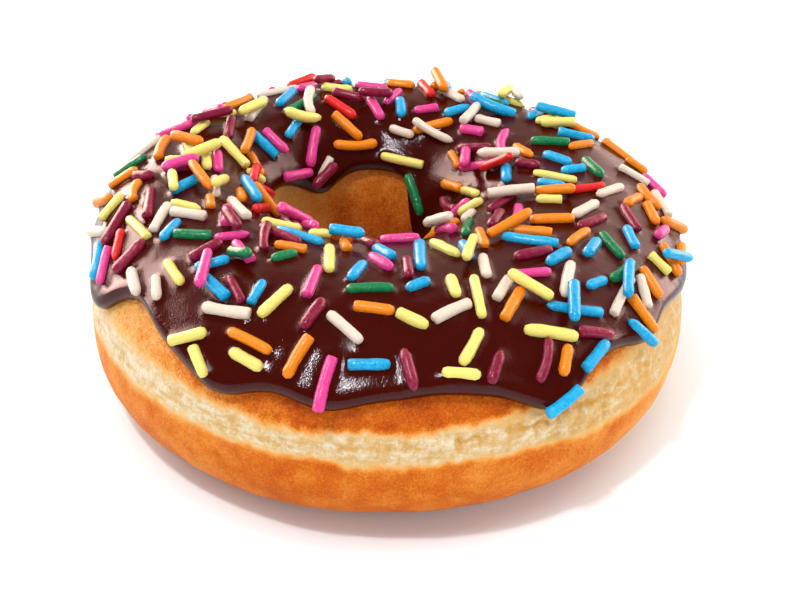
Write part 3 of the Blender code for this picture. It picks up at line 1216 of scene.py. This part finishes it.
def build_world(settings):
    """Even light from all round, dim on the doughnut and pale behind it."""
    world = bpy.data.worlds.new("studio_air")
    world.use_nodes = True
    tree = world.node_tree
    tree.nodes.clear()
    seen = add_node(tree, "ShaderNodeLightPath").outputs["Is Camera Ray"]
    fill = add_node(tree, "ShaderNodeBackground", {"Color": (1, 1, 1, 1), "Strength": settings.fill_level})
    pale = add_node(tree, "ShaderNodeBackground", {"Color": (1, 1, 1, 1), "Strength": BACKGROUND_LEVEL})
    mixed = add_node(tree, "ShaderNodeMixShader", {0: seen, 1: fill.outputs[0], 2: pale.outputs[0]})
    add_node(tree, "ShaderNodeOutputWorld", {"Surface": mixed.outputs[0]})
    bpy.context.scene.world = world


def build_camera():
    """A camera in front of the doughnut, looking down on it."""
    data = bpy.data.cameras.new("front_camera")
    data.lens = CAMERA_LENS
    data.sensor_width = CAMERA_SENSOR
    data.clip_start = 0.01
    data.clip_end = 20.0
    camera = bpy.data.objects.new("front_camera", data)
    back = Vector((0.0, -math.cos(CAMERA_ELEVATION), math.sin(CAMERA_ELEVATION)))
    camera.location = Vector(CAMERA_TARGET) + back * CAMERA_DISTANCE
    camera.rotation_euler = (-back).to_track_quat("-Z", "Y").to_euler()
    bpy.context.scene.collection.objects.link(camera)
    bpy.context.scene.camera = camera


# ---- settings, operators and panel


def a_colour(name, description, *parts):
    """A colour that a user can change, given as it is displayed, each part from 0 to 255."""
    words = {"name": name, "description": description, "subtype": "COLOR"}
    return FloatVectorProperty(default=srgb(*parts), min=0.0, max=1.0, **words)


def a_length(name, description, default, lowest=0.0, highest=0.1):
    """A length that a user can change."""
    words = {"name": name, "description": description, "unit": "LENGTH", "subtype": "DISTANCE"}
    return FloatProperty(default=default, min=lowest, max=highest, precision=5, **words)


def a_share(name, description, default, highest=1.0):
    """A plain number from 0 up."""
    return FloatProperty(name=name, description=description, default=default, min=0.0, max=highest)


class DoughSettings(bpy.types.PropertyGroup):
    """Colours of the crust and the crumb."""

    crust_pale: a_colour("Pale crust", "Crust beside the crumb band", 216, 172, 104)
    crust_golden: a_colour("Golden crust", "Lightly browned crust", 216, 158, 84)
    crust_tan: a_colour("Tan crust", "Light tan of the upper left side", 212, 130, 48)
    crust_orange: a_colour("Orange crust", "Most of the crust", 192, 95, 14)
    crust_brown: a_colour("Brown crust", "Deepest browning", 160, 60, 6)
    crumb_white: a_colour("White crumb", "Brightest flecks of the band", 210, 196, 168)
    crumb_cream: a_colour("Cream crumb", "Most of the band", 198, 166, 116)
    crumb_golden: a_colour("Golden crumb", "Darker blots of the band", 199, 152, 86)
    # The crease colour: partly the crumb's golden tint, partly painted shade in its hollows.
    crumb_crease_and_shade: a_colour("Crease", "Bottom of creases and of the crack", 184, 132, 44)


class IcingSettings(bpy.types.PropertyGroup):
    """Sizes and finish of the icing."""

    icing_colour: a_colour("Icing", "Colour of the chocolate", 54, 5, 0)
    icing_roughness: a_share("Roughness", "How dull the icing is", 0.12)
    lip_width: a_length("Lip width", "How far in from its edge the icing is rounded", 1.5 * MM)
    climb: a_length("Climb", "How far the icing climbs up a strand's side", 0.30 * MM)


class StrandSettings(bpy.types.PropertyGroup):
    """Number, sizes and colours of the sugar strands."""

    strand_seed: IntProperty(name="Seed", description="Which scatter of strands is laid", default=7, min=0)
    strand_count: IntProperty(name="Count", description="How many strands lie", default=290, min=1, max=900)
    strand_thickness: a_length("Thickness", "Thickness of a strand", 1.60 * MM)
    strand_length: a_length("Length", "Usual length of a strand", 6.0 * MM)
    strand_length_spread: a_length("Length spread", "How much lengths vary", 1.2 * MM)
    strand_sink: a_length("Sink", "How far a strand sinks into the icing", 0.35 * MM)
    bent_share: a_share("Bent share", "Share of strands that are bent", 0.10)
    pile_share: a_share("Pile share", "How often a strand may lie on others", 0.17)
    pink: a_colour("Pink", "Pink strands", 210, 56, 130)
    plum: a_colour("Plum", "Plum strands", 122, 12, 48)
    yellow: a_colour("Yellow", "Pale yellow strands", 218, 202, 104)
    orange: a_colour("Orange", "Orange strands", 220, 120, 0)
    blue: a_colour("Blue", "Sky blue strands", 12, 154, 204)
    green: a_colour("Green", "Dark green strands", 8, 112, 66)
    red: a_colour("Red", "Red strands", 200, 22, 22)
    white: a_colour("White", "Warm white strands", 208, 191, 173)


class StageSettings(bpy.types.PropertyGroup):
    """Floor and light."""

    floor_colour: a_colour("Floor", "Colour of the floor", 240, 246, 249)
    shine_colour: a_colour("Shine", "Colour of the panels that are only mirrored", 255, 218, 204)
    floor_radius: a_length("Floor radius", "How far the floor reaches", 4.0, 0.2, 20.0)
    light_level: a_share("Light level", "Brightness of all panels together", 1.0, 10.0)
    fill_level: a_share("Fill level", "Brightness of the light from all round", 0.16, 10.0)


class DoughnutSettings(bpy.types.PropertyGroup):
    """All settings of the doughnut and its stage."""

    dough: PointerProperty(type=DoughSettings)
    icing: PointerProperty(type=IcingSettings)
    strands: PointerProperty(type=StrandSettings)
    stage: PointerProperty(type=StageSettings)


class DOUGHNUT_OT_dough(bpy.types.Operator):
    """Build the fried crust"""

    bl_idname = "doughnut.dough"
    bl_label = "Fried Crust"

    def execute(self, context):
        """Build it from the scene's settings."""
        build_crust(context.scene.doughnut.dough)
        return {"FINISHED"}


class DOUGHNUT_OT_band(bpy.types.Operator):
    """Build the pale crumb band round the side"""

    bl_idname = "doughnut.band"
    bl_label = "Crumb Band"

    def execute(self, context):
        """Build it from the scene's settings."""
        build_band(context.scene.doughnut.dough)
        return {"FINISHED"}


class DOUGHNUT_OT_icing(bpy.types.Operator):
    """Build the chocolate icing"""

    bl_idname = "doughnut.icing"
    bl_label = "Chocolate Icing"

    def execute(self, context):
        """Build it from the scene's settings."""
        build_icing(context.scene.doughnut.icing, context.scene.doughnut.strands)
        return {"FINISHED"}


class DOUGHNUT_OT_strands(bpy.types.Operator):
    """Scatter the sugar strands over the icing"""

    bl_idname = "doughnut.strands"
    bl_label = "Sugar Strands"

    def execute(self, context):
        """Build it from the scene's settings."""
        build_strands(context.scene.doughnut.strands)
        return {"FINISHED"}


class DOUGHNUT_OT_stage(bpy.types.Operator):
    """Build the floor, the lights and the camera"""

    bl_idname = "doughnut.stage"
    bl_label = "Stage"

    def execute(self, context):
        """Build it from the scene's settings."""
        settings = context.scene.doughnut.stage
        build_floor(settings)
        build_lights(settings)
        build_world(settings)
        build_camera()
        context.scene.view_settings.view_transform = "Standard"
        return {"FINISHED"}


OPERATORS = (
    DOUGHNUT_OT_stage,
    DOUGHNUT_OT_dough,
    DOUGHNUT_OT_band,
    DOUGHNUT_OT_icing,
    DOUGHNUT_OT_strands,
)


class DOUGHNUT_PT_pieces(bpy.types.Panel):
    """Lists the doughnut's pieces and their settings"""

    bl_idname = "DOUGHNUT_PT_pieces"
    bl_label = "Frosted Doughnut"
    bl_space_type = "VIEW_3D"
    bl_region_type = "UI"
    bl_category = "Doughnut"

    def draw(self, context):
        """A button for each operator, then a box of settings for each group."""
        for operator in OPERATORS:
            self.layout.operator(operator.bl_idname)
        for group in DoughnutSettings.bl_rna.properties:
            if group.type != "POINTER" or group.identifier == "rna_type":
                continue
            settings = getattr(context.scene.doughnut, group.identifier)
            box = self.layout.box()
            for item in settings.bl_rna.properties:
                if item.identifier not in ("rna_type", "name"):
                    box.prop(settings, item.identifier)


CLASSES = (
    DoughSettings,
    IcingSettings,
    StrandSettings,
    StageSettings,
    DoughnutSettings,
    *OPERATORS,
    DOUGHNUT_PT_pieces,
)


def register():
    """Add the classes and the scene's settings."""
    for item in CLASSES:
        bpy.utils.register_class(item)
    bpy.types.Scene.doughnut = PointerProperty(type=DoughnutSettings)


def unregister():
    """Take the settings and the classes away again."""
    del bpy.types.Scene.doughnut
    for item in reversed(CLASSES):
        bpy.utils.unregister_class(item)


def main():
    """Build the stage and every piece."""
    register()
    bpy.ops.doughnut.stage()
    bpy.ops.doughnut.dough()
    bpy.ops.doughnut.band()
    bpy.ops.doughnut.icing()
    bpy.ops.doughnut.strands()


if __name__ == "__main__":
    main()
